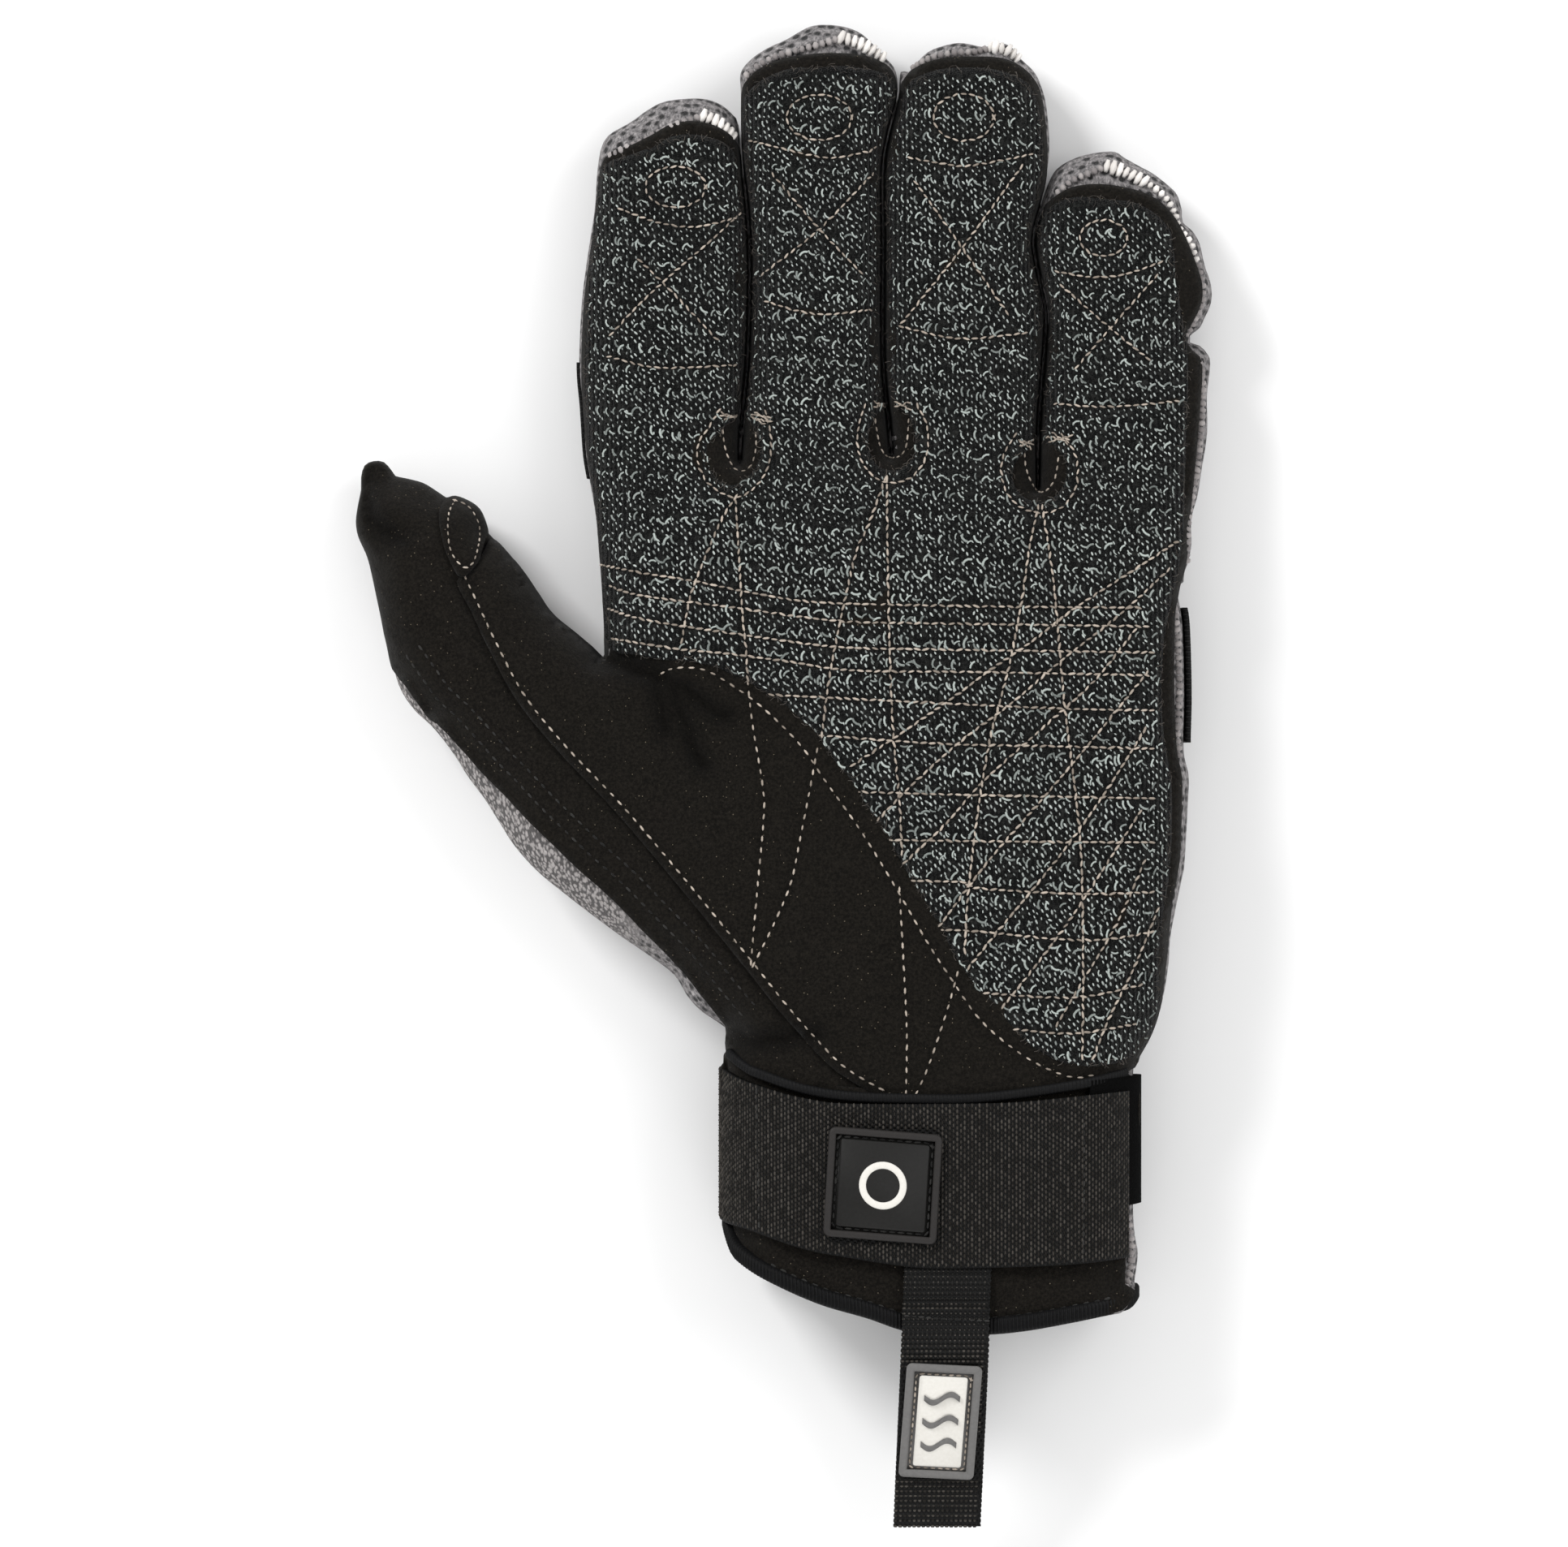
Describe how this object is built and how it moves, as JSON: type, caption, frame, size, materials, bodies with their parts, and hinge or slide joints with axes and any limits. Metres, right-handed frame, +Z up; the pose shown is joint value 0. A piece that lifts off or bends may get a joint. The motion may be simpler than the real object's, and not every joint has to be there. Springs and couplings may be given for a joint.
{
  "type": "water ski glove",
  "caption": "Left-hand water ski glove with a stitched knit palm, suede thumb, mesh back, webbing wrist strap and pull tab, lying palm up.",
  "frame": {"origin": "bottom centre of the bounding box, on the surface that the back of the glove rests on", "axes": "+Y from the wrist to the fingertips, +X towards the little finger, thumb on the -X side, +Z up out of the palm"},
  "size_m": [0.1581, 0.2783, 0.0356],
  "materials": {
    "spacer_mesh": "grey spacer mesh",
    "suede": "black synthetic suede",
    "knit": "charcoal knit with grey-green flecks",
    "woven_elastic": "black woven elastic",
    "binding": "ribbed black binding",
    "webbing": "black webbing",
    "velvet": "black loop velvet",
    "dark_rubber": "matt moulded rubber",
    "grey_rubber": "matt moulded rubber",
    "pale_rubber": "matt moulded rubber"
  },
  "bodies": {
    "root": {"back_panel": "spacer_mesh", "palm_base": "suede", "thumb_panel": "suede", "thumb_petal": "suede", "cuff_panel": "suede", "palm_overlay": "knit", "knuckle_band": "woven_elastic", "index_patch": "woven_elastic", "slot_binding": "binding", "hem_binding": "binding", "wrist_strap": "webbing", "loop_pad": "velvet", "badge_frame": "dark_rubber", "badge_plate": "dark_rubber", "badge_ring": "pale_rubber", "pull_tab": "webbing", "tag_frame": "grey_rubber", "tag_plate": "pale_rubber", "tag_wave_1": "grey_rubber", "tag_wave_2": "grey_rubber", "tag_wave_3": "grey_rubber"}
  },
  "joints": []
}
